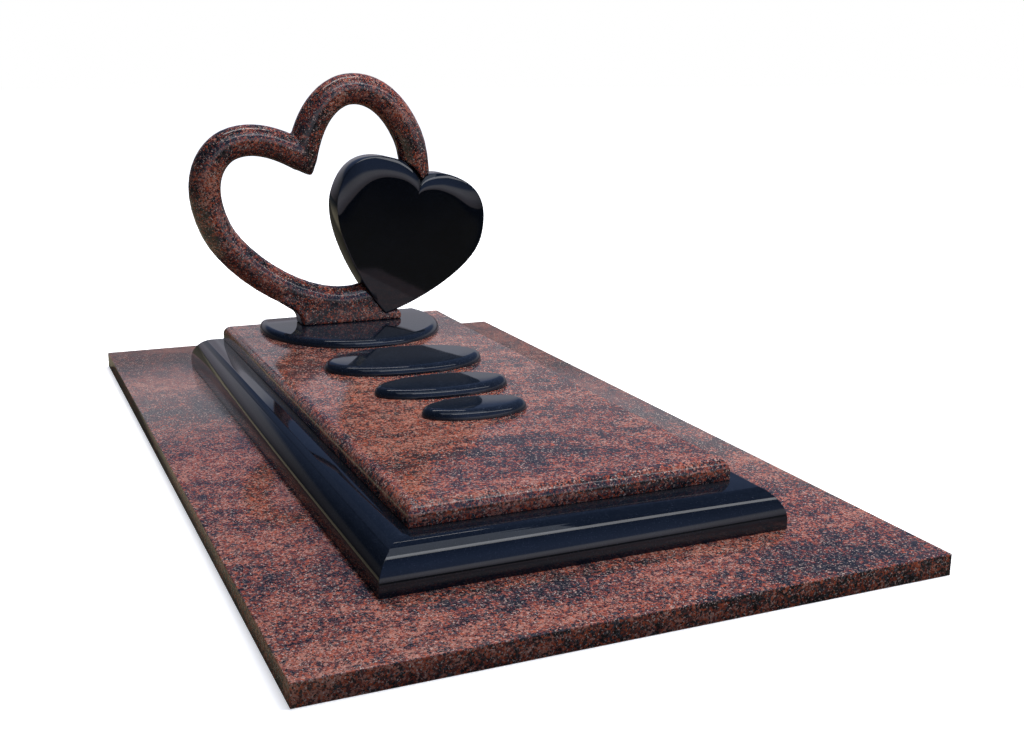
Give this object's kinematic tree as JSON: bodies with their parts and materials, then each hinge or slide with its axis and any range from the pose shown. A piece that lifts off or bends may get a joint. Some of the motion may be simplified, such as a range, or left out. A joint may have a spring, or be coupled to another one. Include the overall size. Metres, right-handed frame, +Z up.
{
  "type": "double-heart granite grave memorial",
  "caption": "Flat stepped grave memorial in polished granite, with an open heart ring and a solid heart standing on a half-oval base and oval steps leading down the ledger.",
  "frame": {"origin": "middle of the base slab's underside, on the ground", "axes": "+Z up, +Y towards the head end where the hearts stand, +X across the memorial"},
  "size_m": [1.17, 2.108, 0.8276],
  "materials": {
    "base_slab_granite": "polished red granite",
    "plinth_granite": "polished black granite",
    "ledger_granite": "polished red granite",
    "heart_base_granite": "polished black granite",
    "step_oval_granite": "polished black granite",
    "heart_ring_granite": "polished red granite",
    "solid_heart_granite": "polished black granite"
  },
  "bodies": {
    "root": {"base_slab": "base_slab_granite", "plinth": "plinth_granite", "ledger": "ledger_granite", "heart_base": "heart_base_granite", "step_oval_large": "step_oval_granite", "step_oval_middle": "step_oval_granite", "step_oval_small": "step_oval_granite", "heart_ring": "heart_ring_granite", "solid_heart": "solid_heart_granite"}
  },
  "joints": []
}
